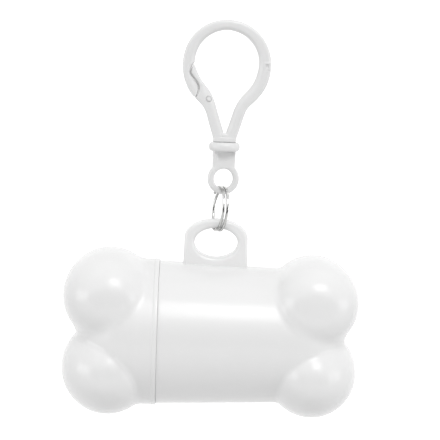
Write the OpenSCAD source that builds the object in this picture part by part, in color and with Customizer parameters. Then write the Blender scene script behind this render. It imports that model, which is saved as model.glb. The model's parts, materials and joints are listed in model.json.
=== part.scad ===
// Bone-shaped bag dispenser that hangs from a swivel snap hook.
// The frame's origin is the hook's seat, the inner top of its loop.
// X runs along the bone, Y goes from its front to its back, and Z is up.

/* [Snap hook] */
// Radius of the loop's upper half, at the middle of its band
loop_r = 10.5; // [9:0.1:13]
// Width of the band at the top of the loop
band_top_w = 2.9; // [2.4:0.1:3.6]
// Width of the band at the sides of the loop
band_side_w = 3.6; // [2.8:0.1:4.2]
// Width of the two legs below the loop
leg_w = 3.2; // [2.6:0.1:3.4]
// Length of the straight part of each leg
leg_len = 8.8; // [7.6:0.1:11]
// Thickness of the hook, front to back
hook_t = 3.4; // [2.6:0.1:4]
// Widest swing of the gate arm, in degrees
gate_open = 18; // [10:1:20]

/* [Swivel] */
// Radius of the collar under the hook
collar_r = 4.25; // [3.9:0.05:5]
// Height of the collar
collar_h = 2.5; // [2:0.1:3.5]
// Width of the neck between the collar and the eye
neck_w = 6.4; // [6:0.1:7]
// Thickness of the neck, front to back
neck_t = 5; // [4.6:0.1:6]
// Height of the neck down to the top of the eye's hole
neck_h = 4.9; // [4.6:0.1:7]
// Radius of the hook's swivel stem
stem_r = 1.6; // [1.2:0.05:1.7]
// Radius of the head that keeps the stem in the neck
head_r = 2.05; // [1.8:0.05:2.1]
// Radius of the eye's hole
eye_hole_r = 2.6; // [2.4:0.05:3.2]
// Width of the band around the eye's hole
eye_band_w = 1.75; // [1.4:0.05:2.2]
// Thickness of the eye, front to back
eye_t = 1.9; // [1.6:0.1:2]

/* [Split ring] */
// Radius of the ring at the middle of its wire
ring_r = 5.9; // [5.6:0.1:8]
// Radius of the ring's wire
wire_r = 0.42; // [0.3:0.01:0.45]
// Turn of the ring away from edge-on, in degrees
ring_yaw = 15; // [0:1:20]

/* [Lug] */
// Width of the lug on top of the dispenser
lug_w = 17.4; // [16:0.1:22]
// Thickness of the lug, front to back
lug_t = 5.2; // [4:0.1:5.6]
// Half width of the lug's oval hole
lug_hole_rx = 5.95; // [5:0.05:6.2]
// Half height of the lug's oval hole
lug_hole_rz = 3.95; // [3.4:0.05:4.4]
// Height of the bar over the lug's hole
lug_bar = 2.65; // [2:0.05:3]
// Height of the lug over the tube's side at the seam
lug_h = 12.1; // [11:0.1:16]

/* [Dispenser] */
// Room all round the roll at the open end of the bore
roll_room = 2.8; // [2.2:0.1:4]
// How much smaller the tube's radius is at its rounded end than at the seam
tube_taper = 1.35; // [0.8:0.05:2]
// Wall between the tube's outside and its bore
tube_wall = 2.2; // [1.8:0.1:2.6]
// In-plane radius of the tube's two lobes
lobe_r = 12.4; // [10:0.1:15]
// How far each of the tube's lobes stands out past the tube's side
lobe_out = 2.4; // [1.8:0.1:4]
// Length of the slot that the bags leave by
slot_len = 30; // [20:1:34]
// Height of the slot
slot_h = 5; // [4.6:0.1:8]

/* [End cap] */
// How far the cap's skirt stands proud of the tube at the seam
cap_proud = 0.35; // [0.2:0.05:0.6]
// Length of the cap from its rim to the notch between its lobes
cap_len = 22.35; // [21:0.1:26]
// In-plane radius of the cap's two lobes
cap_lobe_r = 12.85; // [10.6:0.05:15.4]
// How far each of the cap's lobes stands out past the cap's side
cap_lobe_out = 2.75; // [2:0.05:4]
// Length of the tube's spigot inside the cap
spigot_len = 6.8; // [5:0.1:9]
// Wall of the cap
cap_wall = 1.7; // [1.5:0.1:2]

/* [Bag roll] */
// Outer radius of the full roll of bags
roll_r = 14.8; // [12:0.1:18]
// Length of the roll
roll_len = 56; // [45:1:58]
// Outer radius of the cardboard core
core_r = 6; // [5:0.1:8]
// Wall of the cardboard core
core_wall = 0.7; // [0.5:0.1:1.2]

/* [Hidden] */
$fn = 64;

// Clearances
hair_gap = 0.15;      // between parts that lie beside each other
turn_gap = 0.17;      // between the split ring and the eye's face as the ring swings
stem_gap = 0.06;      // all round the swivel stem
spigot_gap = 0.06;    // all round the spigot
bag_gap = 0.3;        // between the roll and the bore that it lies in
core_gap = 0.08;      // between the core and the bags wound on it
past = 1;             // how far a cut runs past the face that it opens

// Centreline of the hook's right half: each stretch is [radius or length, turn],
// with the turn in degrees clockwise and 0 for a straight one. The straight shoulder
// is as long as it takes to bring the two legs together at their feet.
loop_arcs = [[loop_r, 90], [13.4, 30], [6.4, 14]];
leg_stretches = [[2.2, -27], [leg_len, 0]];
shoulder_heading = 134;
leg_heading = 107;
stretch_steps = 10;
band_top = [0, band_top_w / 2];
foot_x = leg_w / 2 + 0.015;
foot_without_shoulder = last_point(trail(band_top, 0, concat(loop_arcs, leg_stretches)));
shoulder_run = (foot_without_shoulder[0] - foot_x) / -cos(shoulder_heading);
loop_stretches = concat(loop_arcs, [[shoulder_run, 0]], leg_stretches);
half_line = trail(band_top, 0, loop_stretches);
leg_foot = last_point(half_line);
band_widths = [[0, band_top_w], [0.25, band_side_w], [0.5, band_side_w], [0.8, leg_w], [1, leg_w]];

// Hook base and gate
base_w = 2 * foot_x + leg_w + 0.47;
base_h = 2.3;
base_top = leg_foot[1] + 0.2;
base_bottom = base_top - base_h;
knuckle_up_leg = 4.6; // from the leg's foot to the gate's root
knuckle_r = leg_w / 2 - 0.02;
socket_r = knuckle_r / cos(gate_open) + hair_gap / 2;
gate_root = [-leg_foot[0], leg_foot[1]] + knuckle_up_leg * [cos(leg_heading), sin(leg_heading)];
loop_mid = [0, band_top_w / 2 - loop_r];
// Line where the gate's tongue meets the nose, from the loop's inside to its outside,
// and the tongue's back. Each place is [stretches along the centreline, offset], with
// the offset to the outside in half widths of the band.
tongue_line = band_places([[1.02, -1.54], [1.12, -0.63], [1.44, -0.02], [1.7, -0.3], [1.96, -0.48],
    [2.96, -0.32], [3.18, 0.23], [3.24, 0.82], [3.09, 1.81]]);
tongue_back = band_places([[4.09, -1.15], [3.64, -1.38], [3.14, -1.44], [1.89, -1.36],
    [1.43, -1.07], [1.18, -0.9]]);

// Swivel: the neck's window holds the stem's head
collar_top = base_bottom - hair_gap;
collar_edge = 1.1;
neck_top = collar_top - collar_h;
eye_z = neck_top - neck_h - eye_hole_r;
eye_r = eye_hole_r + eye_band_w;
eye_bottom_z = eye_z - eye_hole_r;
window_w = 2 * head_r + 2 * hair_gap;
window_top = neck_top - 0.6;
window_h = 3;
window_corner = 0.3;
head_top = window_top - hair_gap;
head_h = head_top - (neck_top - neck_h + eye_band_w) - 2 * hair_gap;
head_tip_r = head_r - 0.65;

// Split ring: two turns of wire side by side
wire_pitch = 2 * wire_r - 0.08;
eye_hang = max(0.25, (eye_t - eye_band_w) / 2 + turn_gap);
lug_hang = wire_pitch / 2 + 0.04;
ring_inner_r = ring_r - wire_r;
ring_z = eye_bottom_z + eye_hang - ring_inner_r;

// Dispenser, with its X counted from the middle of the lug
lug_x = -0.5;
lug_hole_top = ring_z - ring_inner_r + lug_hang;
lug_hole_z = lug_hole_top - lug_hole_rz;
lug_top = lug_hole_top + lug_bar;
lug_arch = 5.3;       // height of the lug's arched shoulders
lug_flare = 1.1;      // how much the hole opens towards the lug's faces
lug_straight = 1;     // thickness of the lug's straight middle
oval_steps = 48;
bore_mouth_r = roll_r + roll_room;
tube_r = bore_mouth_r + tube_wall;
tube_end_r = tube_r - tube_taper;
bore_end_r = tube_end_r - tube_wall;
axis_z = lug_top - lug_h - tube_r;
seam_x = lug_x - 16.2;
roll_to_end = 7.2;    // from the roll to the notch between the tube's lobes
roll_to_cap_end = 10.9;
tube_len = roll_to_end + roll_len + roll_to_cap_end - cap_len - hair_gap;
tube_end_x = seam_x + tube_len;
tube_corner = 10;
lobe_rise = tube_r + lobe_out - lobe_r;
lobe_x = tube_end_x - 8.9;
lobe_depth = tube_r - 0.5;    // half thickness of the tube's lobes, front to back
bore_corner = 8.2;
end_wall = 1.8;       // between the bore's end and the notch
bore_round_x = tube_end_x - end_wall - bore_corner;
spigot_r = tube_r - 0.9;
rib_w = 2;            // rib that keeps the cap in line
rib_h = 0.5;
slot_x = lug_x;

// End cap
cap_r = tube_r + cap_proud;
cap_rim_x = seam_x - hair_gap;
cap_corner = 13;
cap_bore_r = cap_r - cap_wall;
cap_end_x = cap_rim_x - cap_len;
cap_lobe_x = cap_end_x + 9;
cap_lobe_rise = cap_r + cap_lobe_out - cap_lobe_r;
cap_lobe_depth = cap_r - 0.55;
cap_socket_r = spigot_r + spigot_gap;
cap_socket_len = spigot_len + 0.4;
cap_pocket_r = cap_lobe_r - 2;    // hollow that reaches into each lobe
cap_pocket_rise = cap_bore_r - cap_pocket_r;
rim_band_w = 1.3;
rim_band_h = 0.12;

// Bag roll, lying in the bore
roll_end_x = tube_end_x - roll_to_end;
roll_mid_x = roll_end_x - roll_len / 2;
roll_drop = min(bore_mouth_r, bore_r_at(roll_end_x)) - roll_r - bag_gap;
roll_z = axis_z - roll_drop;

plastic = "whitesmoke";
steel = "silver";
film = "lightblue";
card = "tan";

// Direction that a heading points in, counted clockwise from +X, and its left side
function ahead(h) = [cos(h), -sin(h)];
function outward(h) = [sin(h), cos(h)];
// Point and heading at a fraction f of a stretch that starts at p with heading h
function along(p, h, s, f) = s[1] == 0
    ? [p + f * s[0] * ahead(h), h]
    : [p + sign(s[1]) * s[0] * (outward(h + f * s[1]) - outward(h)), h + f * s[1]];
function last_point(places) = places[len(places) - 1][0];
// Points and headings along all the stretches from number i on
function trail(p, h, stretches, i = 0) = i == len(stretches)
    ? [[p, h]]
    : concat([for (k = [0 : stretch_steps - 1]) along(p, h, stretches[i], k / stretch_steps)],
        trail(along(p, h, stretches[i], 1)[0], h + stretches[i][1], stretches, i + 1));
function backwards(list) = [for (i = [len(list) - 1 : -1 : 0]) list[i]];
// A line's points moved d to its left
function moved_left(line, d) = [for (i = [0 : len(line) - 1])
    let (run = line[min(i + 1, len(line) - 1)] - line[max(i - 1, 0)])
    line[i] + d * [-run[1], run[0]] / norm(run)];
// Radius of the tapering bore at x, and inside its rounded end
function bore_r_at(x) = min(
    bore_mouth_r + (bore_end_r - bore_mouth_r) * (x - seam_x) / (bore_round_x - seam_x),
    bore_end_r - bore_corner + sqrt(bore_corner ^ 2 - max(0, x - bore_round_x) ^ 2));

// Points of the band's edge, along its centreline: side is 1 outside and -1 inside
function half_width(stretches) = lookup(stretches / len(loop_stretches), band_widths) / 2;
function band_edge(side) = [for (i = [0 : len(half_line) - 1])
    half_line[i][0] + side * half_width(i / stretch_steps) * outward(half_line[i][1])];
// Points of the hook's left half for a list of places along the band
function band_places(places) = mirrored([for (place = places)
    let (n = floor(place[0]), start = half_line[n * stretch_steps],
        at = along(start[0], start[1], loop_stretches[n], place[0] - n))
    at[0] + place[1] * half_width(place[0]) * outward(at[1])]);
function mirrored(points) = [for (p = points) [-p[0], p[1]]];
function below(points, height) = [for (p = points) if (p[1] < height) p];

// Half of the hook's band: its centreline with the band's width laid to both sides
module half_band() {
    polygon(concat(band_edge(1), backwards(band_edge(-1))));
}

// Everything inside and below the line where the tongue meets the nose
module gate_side(d) {
    line = moved_left(tongue_line, -d);
    outer_x = line[len(line) - 1][0];
    polygon(concat(line, [[outer_x, base_bottom], [0, base_bottom], [0, loop_mid[1]]]));
}

module above_root() {
    translate(gate_root) rotate(leg_heading - 90) translate([-20, 0]) square([40, 40]);
}

module upright(t) {
    rotate([90, 0, 0]) linear_extrude(height = t, center = true) children();
}

module snap_hook() {
    color(plastic) union() {
        upright(hook_t) {
            half_band();
            difference() {
                mirror([1, 0]) half_band();
                intersection() {
                    gate_side(hair_gap);
                    above_root();
                }
                translate(gate_root) circle(socket_r);
            }
            translate([-base_w / 2, base_bottom]) square([base_w, base_h]);
        }
        translate([0, 0, head_top - head_h / 2])
            cylinder(r = stem_r, h = base_bottom + 0.5 - head_top + head_h / 2);
        translate([0, 0, head_top - head_h]) cylinder(r1 = head_tip_r, r2 = head_r, h = head_h);
    }
}

// Outline of the gate: down the line where it meets the nose, down the leg's
// outer edge, and back up its inner edge and the tongue
module gate_outline() {
    meeting = [for (i = [1 : len(tongue_line) - 2]) tongue_line[i]];
    outer_top = meeting[len(meeting) - 1][1] - 0.4;
    inner_top = tongue_back[0][1] - 0.4;
    polygon(concat(meeting, below(mirrored(band_edge(1)), outer_top),
        backwards(below(mirrored(band_edge(-1)), inner_top)), tongue_back));
}

module gate_arm() {
    color(plastic) upright(hook_t) {
        intersection() {
            gate_outline();
            above_root();
        }
        translate(gate_root) circle(knuckle_r);
    }
}

// Disc with its rim rounded top and bottom
module rounded_disc(r, h, edge) {
    rotate_extrude() {
        square([r - edge, h]);
        translate([0, edge]) square([r, h - 2 * edge]);
        translate([r - edge, edge]) circle(edge);
        translate([r - edge, h - edge]) circle(edge);
    }
}

module rounded_square(w, h, corner) {
    translate([-w / 2 + corner, 0]) square([w - 2 * corner, h]);
    translate([-w / 2, corner]) square([w, h - 2 * corner]);
    for (x = [-w / 2 + corner, w / 2 - corner], y = [corner, h - corner])
        translate([x, y]) circle(corner);
}

module swivel_eye() {
    eye_edge = eye_band_w / 2 - 0.02;
    color(plastic) difference() {
        union() {
            translate([0, 0, neck_top]) rounded_disc(collar_r, collar_h, collar_edge);
            difference() {
                translate([-neck_w / 2, -neck_t / 2, eye_z + eye_hole_r])
                    cube([neck_w, neck_t, neck_h + 0.5]);
                upright(neck_t + past) translate([0, window_top - window_h])
                    rounded_square(window_w, window_h, window_corner);
            }
            translate([0, 0, eye_z]) upright(eye_t) difference() {
                translate([-neck_w / 2, 0]) square([neck_w, eye_hole_r + 1]);
                circle(eye_hole_r + eye_band_w / 2);
            }
            translate([0, 0, eye_z]) rotate([90, 0, 0]) rotate_extrude()
                translate([eye_hole_r + eye_band_w / 2, -eye_t / 2])
                    rounded_square(eye_band_w, eye_t, eye_edge);
        }
        translate([0, 0, window_top - 0.1])
            cylinder(r = stem_r + stem_gap, h = collar_top - window_top + past);
    }
}

module split_ring() {
    color(steel) translate([0, 0, ring_z]) rotate([0, 0, ring_yaw]) rotate([0, 90, 0])
        for (side = [-0.5, 0.5])
            translate([0, 0, side * wire_pitch]) rotate_extrude() translate([ring_r, 0]) circle(wire_r, $fn = 32);
}

// Round rod from X = 0 to len along +X, tapering from r to end_r, with its far edge rounded
module round_ended_rod(r, end_r, len, corner) {
    rotate([0, 90, 0]) rotate_extrude() {
        polygon([[0, 0], [r, 0], [end_r, len - corner], [0, len - corner]]);
        square([end_r - corner, len]);
        translate([end_r - corner, len - corner]) intersection() {
            circle(corner);
            square(corner);
        }
    }
}

module lobe_pair(x, rise, r, depth) {
    for (side = [-1, 1])
        translate([x, 0, axis_z + side * rise]) scale([1, depth / r, 1]) sphere(r);
}

module rod_along_x(x, r, len) {
    translate([x, 0, axis_z]) rotate([0, 90, 0]) cylinder(r = r, h = len);
}

// Points of an upright oval
function oval(rx, rz) = [for (k = [0 : oval_steps - 1])
    [rx * cos(360 * k / oval_steps), rz * sin(360 * k / oval_steps)]];

// Lug outline: straight sides under an arch of two quarter ovals
module lug_outline() {
    shoulder = lug_top - lug_arch;
    lug_foot = axis_z + tube_end_r * 0.8;
    translate([lug_x, shoulder]) polygon(oval(lug_w / 2, lug_arch));
    translate([lug_x - lug_w / 2, lug_foot]) square([lug_w, shoulder - lug_foot]);
}

// Oval hole that opens towards both faces of the lug
module lug_hole() {
    slope_t = (lug_t - lug_straight) / 2;
    flared = (lug_hole_rz + lug_flare) / lug_hole_rz;
    translate([lug_x, 0, lug_hole_z]) {
        upright(lug_t + past) polygon(oval(lug_hole_rx, lug_hole_rz));
        for (turn = [0, 180]) rotate([90, 0, turn]) translate([0, 0, lug_straight / 2])
            linear_extrude(height = slope_t + 0.01, scale = flared)
                polygon(oval(lug_hole_rx, lug_hole_rz));
    }
}

module bag_slot() {
    translate([slot_x, 0, axis_z]) rotate([-90, 0, 0]) {
        translate([-(slot_len - slot_h) / 2, -slot_h / 2, bore_end_r / 2])
            cube([slot_len - slot_h, slot_h, tube_r]);
        for (side = [-1, 1])
            translate([side * (slot_len - slot_h) / 2, 0, bore_end_r / 2])
                cylinder(r = slot_h / 2, h = tube_r);
    }
}

module dispenser_body() {
    color(plastic) difference() {
        union() {
            translate([seam_x, 0, axis_z])
                round_ended_rod(tube_r, tube_end_r, tube_len, tube_corner);
            lobe_pair(lobe_x, lobe_rise, lobe_r, lobe_depth);
            rod_along_x(seam_x - spigot_len, spigot_r, spigot_len + 1);
            translate([seam_x - spigot_len, -rib_w / 2, axis_z + spigot_r - 1])
                cube([spigot_len + 1, rib_w, 1 + rib_h]);
            difference() {
                upright(lug_t) lug_outline();
                lug_hole();
            }
        }
        translate([seam_x, 0, axis_z])
            round_ended_rod(bore_mouth_r, bore_end_r, tube_len - end_wall, bore_corner);
        rod_along_x(seam_x - spigot_len - past, bore_mouth_r, spigot_len + past + 0.1);
        bag_slot();
    }
}

module end_cap() {
    color(plastic) difference() {
        union() {
            translate([cap_rim_x, 0, axis_z]) mirror([1, 0, 0])
                round_ended_rod(cap_r, cap_r, cap_len, cap_corner);
            rod_along_x(cap_rim_x - rim_band_w, cap_r + rim_band_h, rim_band_w);
            lobe_pair(cap_lobe_x, cap_lobe_rise, cap_lobe_r, cap_lobe_depth);
        }
        rod_along_x(cap_rim_x - cap_socket_len, cap_socket_r, cap_socket_len + past);
        translate([cap_rim_x, 0, axis_z]) mirror([1, 0, 0])
            round_ended_rod(cap_bore_r, cap_bore_r, cap_len - cap_wall, cap_corner - cap_wall);
        for (side = [-1, 1])
            translate([cap_lobe_x, 0, axis_z + side * cap_pocket_rise]) sphere(cap_pocket_r);
        translate([cap_rim_x - cap_socket_len, -rib_w / 2 - spigot_gap, axis_z])
            cube([cap_socket_len + past, rib_w + 2 * spigot_gap, spigot_r + rib_h + spigot_gap]);
    }
}

module tube_along_x(r, inner_r) {
    translate([roll_mid_x, 0, roll_z]) rotate([0, 90, 0]) difference() {
        cylinder(r = r, h = roll_len, center = true);
        cylinder(r = inner_r, h = roll_len + past, center = true);
    }
}

module roll_core() {
    color(card) tube_along_x(core_r, core_r - core_wall);
}

module bag_roll() {
    color(film) tube_along_x(roll_r, core_r + core_gap);
}

snap_hook();
gate_arm();
swivel_eye();
split_ring();
dispenser_body();
end_cap();
roll_core();
bag_roll();
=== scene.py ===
"""Bone-shaped bag dispenser on a snap hook: the detailed surfaces, finishes and stage.

Shapes are worked out in millimetres and put into meshes in metres. X runs along the bone,
Y goes from its front to its back, and Z is up. The origin is the hook's seat.
"""

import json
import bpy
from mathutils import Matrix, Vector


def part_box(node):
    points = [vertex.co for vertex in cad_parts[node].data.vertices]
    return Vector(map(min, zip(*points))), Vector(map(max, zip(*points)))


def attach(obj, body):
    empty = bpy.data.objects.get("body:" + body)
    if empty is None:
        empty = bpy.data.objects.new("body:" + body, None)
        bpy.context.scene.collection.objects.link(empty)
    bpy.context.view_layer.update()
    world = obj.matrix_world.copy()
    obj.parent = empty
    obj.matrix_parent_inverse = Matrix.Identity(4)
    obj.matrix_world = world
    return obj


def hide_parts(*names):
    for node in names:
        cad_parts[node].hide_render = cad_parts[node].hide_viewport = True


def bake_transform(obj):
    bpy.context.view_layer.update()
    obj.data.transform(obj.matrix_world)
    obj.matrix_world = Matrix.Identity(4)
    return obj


bl_info = {
    "name": "Bag Dispenser",
    "version": (1, 0, 0),
    "blender": (4, 5, 0),
    "location": "View3D > Sidebar > Dispenser",
    "description": "Builds a bone-shaped bag dispenser on a swivel snap hook",
    "category": "Add Mesh",
}

from math import cos, pi, radians, sin
from types import SimpleNamespace

import bpy
import numpy as np
from bpy.props import FloatProperty, FloatVectorProperty, PointerProperty
from bpy.types import Operator, Panel, PropertyGroup
from mathutils import Matrix, Vector

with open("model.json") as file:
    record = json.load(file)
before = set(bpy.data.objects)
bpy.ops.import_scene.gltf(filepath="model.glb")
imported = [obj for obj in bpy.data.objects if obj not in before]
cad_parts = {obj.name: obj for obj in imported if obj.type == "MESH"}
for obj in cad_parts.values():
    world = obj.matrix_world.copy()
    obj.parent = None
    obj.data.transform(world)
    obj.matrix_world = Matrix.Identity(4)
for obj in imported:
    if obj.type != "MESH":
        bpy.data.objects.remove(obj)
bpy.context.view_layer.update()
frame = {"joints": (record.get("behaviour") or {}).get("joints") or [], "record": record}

MM = 0.001
JOINTS = {joint["name"]: joint for joint in frame["joints"]}
MOUNTS = {mount["name"]: mount for mount in frame["record"]["mounts"]}
SHARP_ANGLE = radians(38)
RAY_REACH = 60


def in_mm(position):
    """A position of the frame, from metres to millimetres."""
    return np.array(position, float) / MM


def node_box(node):
    """Lowest and highest corners of a frame node, in millimetres."""
    low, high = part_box(node)
    return in_mm(low), in_mm(high)


EYE_BAR = in_mm(JOINTS["ring_swing"]["pos_m"])
ROLL_MIDDLE = in_mm(JOINTS["roll_spin"]["pos_m"])
SPIGOT_END, _, AXIS_Z = in_mm(MOUNTS["refill_seat"]["pos_m"])
EYE_HIGH = node_box("swivel_eye")[1]
RING_LOW, RING_HIGH = node_box("split_ring")
BODY_HIGH = node_box("dispenser_body")[1]
CAP_LOW = node_box("end_cap")[0]
ROLL_LOW, ROLL_HIGH = node_box("bag_roll")
CORE_LOW, CORE_HIGH = node_box("roll_core")

# How the cap sits on the body's spigot: the spigot's length, its step in from the tube's
# outside, the play round it, and the gap at the cap's rim. The seam is where the tube starts.
SPIGOT_LEN = 6.8
SPIGOT_STEP = 0.9
SPIGOT_PLAY = 0.06
RIM_GAP = 0.04
SEAM = SPIGOT_END + SPIGOT_LEN


def length(name, text, mm, low=0.0):
    """A length property, in metres, whose default and least value are given in millimetres."""
    return FloatProperty(name=name, description=text, default=mm * MM, min=low * MM,
                         unit="LENGTH", precision=5)


def tilt(name, text, degrees):
    """An angle property, whose default is given in degrees."""
    return FloatProperty(name=name, description=text, default=radians(degrees), subtype="ANGLE")


def watts(name, text, power):
    """A lamp's power property."""
    return FloatProperty(name=name, description=text, default=power, min=0, unit="POWER")


def tint(name, text, colour):
    """A colour property."""
    return FloatVectorProperty(name=name, description=text, default=colour, size=3,
                               min=0, max=1, subtype="COLOR")


def factor(name, text, value, low=0.0, high=1.0):
    """A plain number property between two limits."""
    return FloatProperty(name=name, description=text, default=value, min=low, max=high)


class HookSizes(PropertyGroup):
    """Sizes of the snap hook and its gate."""

    loop_r: length("Loop radius", "Radius of the loop's upper half at the middle of its band", 10.5)
    band_top: length("Top width", "Width of the band at the top of the loop", 2.9)
    band_side: length("Side width", "Width of the band at the loop's sides", 3.6)
    leg_w: length("Leg width", "Width of the legs", 3.2)
    leg_len: length("Leg length", "Length of each leg's straight part", 8.8)
    thickness: length("Thickness", "Thickness of the hook, front to back", 3.4)
    gate_gap: length("Gate gap", "Gap between the gate's tongue and the nose", 0.16)
    gate_slant: length("Gate slant", "How far the gap slants from its front to its back", 0.3)
    stem_r: length("Stem radius", "Radius of the swivel stem", 1.3)
    head_r: length("Head radius", "Radius of the head that keeps the stem in its neck", 1.7)


class SwivelSizes(PropertyGroup):
    """Sizes of the swivel eye."""

    collar_r: length("Collar radius", "Radius of the collar", 4.25)
    collar_h: length("Collar height", "Height of the collar", 2.5)
    collar_lift: length("Collar lift", "How far the collar stands over its frame node", 0.95)
    eye_lift: length("Eye lift", "How far the eye stands over its frame node", 0.85)
    turn: tilt("Turn", "Turn of the eye about the stem at rest", 12)
    neck_w: length("Neck width", "Width of the neck", 6.1)
    neck_t: length("Neck thickness", "Thickness of the neck under the collar", 3.2)
    foot_t: length("Neck foot", "Thickness of the neck where it meets the eye", 1.8)
    recess: length("Recess", "Depth of the hollow in the neck's front and back", 0.75)
    hole_r: length("Eye hole", "Radius of the eye's hole", 2.7)
    band_w: length("Eye band", "Width of the band around the eye's hole", 1.68)
    eye_t: length("Eye thickness", "Thickness of the eye, front to back", 1.9)


class RingSizes(PropertyGroup):
    """Sizes of the split ring."""

    wire_r: length("Wire radius", "Radius of the ring's wire", 0.37)
    coil_gap: length("Coil pitch", "Distance between the ring's two coils", 1.1)
    aside: length("Aside", "How far the ring hangs to the left of the eye's middle", 0.7)
    lift: length("Lift", "How far the ring stands over its frame node", 0.4)
    grow: length("Grow", "How much larger the ring's radius is than its frame node's", 0.1)
    turn: tilt("Turn", "Turn of the ring about Z from its joint's axis", -0.7)
    turns: factor("Turns", "Turns of wire in the ring", 1.72, 1.1, 2.0)
    lean: tilt("Lean", "How far the ring leans in its lug", 5)


class CaseSizes(PropertyGroup):
    """Sizes of the dispenser's body, its lug and its cap."""

    tube_r: length("Tube radius", "Radius of the tube at its seam with the cap", 19.8)
    tube_end_r: length("Tube end radius", "Radius of the tube where its end rounds", 18.45)
    wall: length("Wall", "Wall between the tube's outside and its bore", 2.2)
    lobe_r: length("Lobe radius", "In-plane radius of the tube's lobes", 12.4)
    lobe_rise: length("Lobe rise", "Distance from the axis to each of the tube's lobes", 9.8)
    fillet: length("Fillet", "Size of the fillet between an upper lobe and its tube", 1.4)
    low_fillet: length("Lower fillet", "Size of the fillet between a lower lobe and its tube", 0.9)
    lobe_power: factor("Lobe fullness", "Fullness of the tube's upper lobe", 2.82, 2, 4)
    cap_power: factor("Cap lobe fullness", "Fullness of the cap's upper lobe", 2.5, 2, 4)
    low_power: factor("Lower lobe fullness", "Fullness of the lower lobes", 2.15, 2, 4)
    cap_proud: length("Cap proud", "How far the cap stands proud of the tube", 0.35)
    cap_lobe_r: length("Cap lobe radius", "In-plane radius of the cap's lobes", 12.85)
    cap_lobe_rise: length("Cap lobe rise", "Distance from the axis to each cap lobe", 10.05)
    cap_wall: length("Cap wall", "Wall of the cap", 1.7)
    lug_w: length("Lug width", "Width of the lug", 17.4)
    lug_t: length("Lug thickness", "Thickness of the lug, front to back", 5.2)
    hole_w: length("Hole width", "Width of the lug's oval hole", 11.9)
    hole_h: length("Hole height", "Height of the lug's oval hole", 8.05)
    slot_len: length("Slot length", "Length of the slot for the bags", 30.0)
    slot_h: length("Slot height", "Height of the slot for the bags", 5.0)


class RollSizes(PropertyGroup):
    """Sizes of the refill roll."""

    film_pitch: length("Film pitch", "Distance between the layers on the roll's ends", 0.55)
    tail_step: length("Tail step", "Step where the film's loose end lies on the roll", 0.14)
    core_wall: length("Core wall", "Wall of the cardboard core", 0.7)


class Finishes(PropertyGroup):
    """Colours and finishes."""

    plastic: tint("Plastic", "Colour of the case's plastic", (0.87, 0.87, 0.87))
    hook_plastic: tint("Hook plastic", "Colour of the hook's plastic", (0.81, 0.81, 0.81))
    gloss: factor("Plastic roughness", "Roughness of the moulded plastic", 0.24)
    steel: tint("Steel", "Colour of the plated steel", (0.72, 0.72, 0.71))
    film: tint("Film", "Colour of the bags", (0.42, 0.62, 0.72))
    card: tint("Cardboard", "Colour of the roll's core", (0.62, 0.5, 0.36))


class StageSettings(PropertyGroup):
    """Camera, lights and floor."""

    distance: length("Distance", "Camera's distance in front of the object", 600, 100)
    side: length("Side", "Camera's place along the bone", -9, -1000)
    height: length("Height", "Camera's height over the hook's seat", 0, -1000)
    roll: tilt("Roll", "Camera's turn about its view", 1.92)
    view_width: length("View width", "Width of the view at the object", 121.5, 10)
    look_x: length("Look X", "X of the point in the middle of the view", -0.5, -1000)
    look_z: length("Look Z", "Z of the point in the middle of the view", -52.3, -1000)
    key: watts("Key light", "Power of the soft key light", 2.0)
    top: watts("Top light", "Power of the light overhead", 0.9)
    fill: watts("Fill light", "Power of the wide light at the right", 2.0)
    fill_left: watts("Left fill", "Power of the wide light at the left", 2.7)
    ambient: factor("Ambient", "Strength of the light from all round", 0.62, 0.0, 2.0)
    floor: tint("Floor", "Colour of the floor and its backdrop", (0.76, 0.76, 0.76))
    floor_glow: factor("Floor glow", "Light that the floor adds for the camera alone", 0.58)


def sizes(group):
    """The lengths of a property group in millimetres, and its other values as they are."""
    values = {}
    for key, rna in group.bl_rna.properties.items():
        if rna.type == "FLOAT" and not rna.is_array:
            value = getattr(group, key)
            values[key] = value / MM if rna.unit == "LENGTH" else value
    return SimpleNamespace(**values)


# ---------------------------------------------------------------- grids and meshes


def grid_shell(points, wrap_rows=False):
    """A closed shell from a grid of points, rows by columns. Its columns close on themselves,
    and its rows do so too, or else end in poles: the first and last row are then one point
    each. The quad (i, j) joins points (i, j), (i, j+1), (i+1, j+1) and (i+1, j)."""
    rows, cols = points.shape[:2]
    ids = np.arange(rows * cols).reshape(rows, cols)
    after = np.roll(ids, -1, axis=1)
    if wrap_rows:
        lower, lower_after = np.roll(ids, -1, axis=0), np.roll(after, -1, axis=0)
        quads = np.stack([ids, after, lower_after, lower], -1).reshape(-1, 4)
        return oriented(points.reshape(-1, 3), np.zeros((0, 3), int), quads)
    quads = np.stack([ids[1:-2], after[1:-2], after[2:-1], ids[2:-1]], -1).reshape(-1, 4)
    first, last = np.zeros(cols, int), np.full(cols, rows * cols - 1)
    fans = np.concatenate([np.stack([first, after[1], ids[1]], -1),
                           np.stack([last, ids[-2], after[-2]], -1)])
    used = np.concatenate([[0], ids[1:-1].ravel(), [rows * cols - 1]])
    place = np.zeros(rows * cols, int)
    place[used] = np.arange(len(used))
    return oriented(points.reshape(-1, 3)[used], place[fans], place[quads])


def oriented(points, triangles, quads):
    """The shell with its faces outward: they are turned round if the shell's volume, a sixth
    of the sum of corner a dot (corner b cross corner c), comes out negative."""
    halves = np.concatenate([triangles, quads[:, :3], quads[:, [0, 2, 3]]])
    a, b, c = (points[halves[:, k]] for k in range(3))
    if np.einsum("ij,ij->", a, np.cross(b, c)) < 0:
        triangles, quads = triangles[:, ::-1], quads[:, ::-1]
    return points, triangles, quads


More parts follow.
